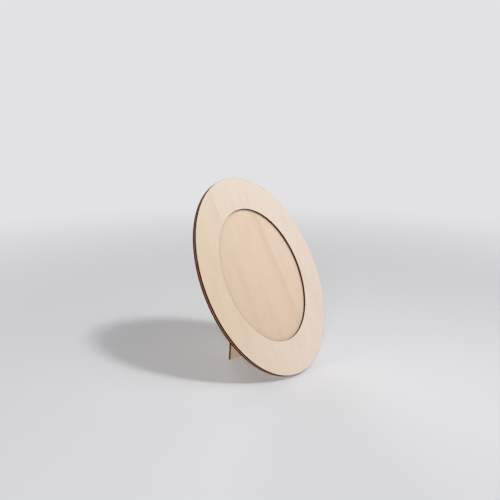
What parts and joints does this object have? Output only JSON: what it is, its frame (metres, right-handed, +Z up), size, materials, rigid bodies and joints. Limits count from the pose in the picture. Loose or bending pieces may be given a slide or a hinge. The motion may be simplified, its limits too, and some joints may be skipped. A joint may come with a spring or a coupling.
{
  "type": "picture frame",
  "caption": "Oval table-top picture frame of thin plywood: ring with an oval window, flat back, photo slot between them, and a folding strut on a butt hinge that props it leaning back.",
  "frame": {"origin": "middle of the box on the surface that the frame stands on", "axes": "+Z up, -Y is the side that the ring faces, +X to the right seen from the front"},
  "size_m": [0.15, 0.0994, 0.1782],
  "materials": {
    "ring_wood": "bare pale plywood, matt, cut edges burnt dark brown",
    "back_wood": "bare pale plywood a little warmer than the ring, cut edges burnt dark brown",
    "strut_wood": "bare yellowish plywood, matt, cut edges burnt dark brown",
    "spacer_card": "plain tan card, matt",
    "hinge_brass": "brass-plated, satin"
  },
  "bodies": {
    "frame": {"front_ring": "ring_wood", "photo_spacer": "spacer_card", "back_panel": "back_wood", "hinge_block": "back_wood", "fixed_leaf": "hinge_brass", "block_screw_left": "hinge_brass", "block_screw_right": "hinge_brass", "hinge_pin": "hinge_brass"},
    "strut": {"strut": "strut_wood", "strut_leaf": "hinge_brass", "strut_rivet_left": "hinge_brass", "strut_rivet_right": "hinge_brass"}
  },
  "joints": [
    {"name": "strut_fold", "type": "hinge", "parent": "frame", "child": "strut", "pos_m": [0, 0.01863, 0.11197], "axis": [1, 0, 0], "range_deg": [-29.7, 0]}
  ]
}
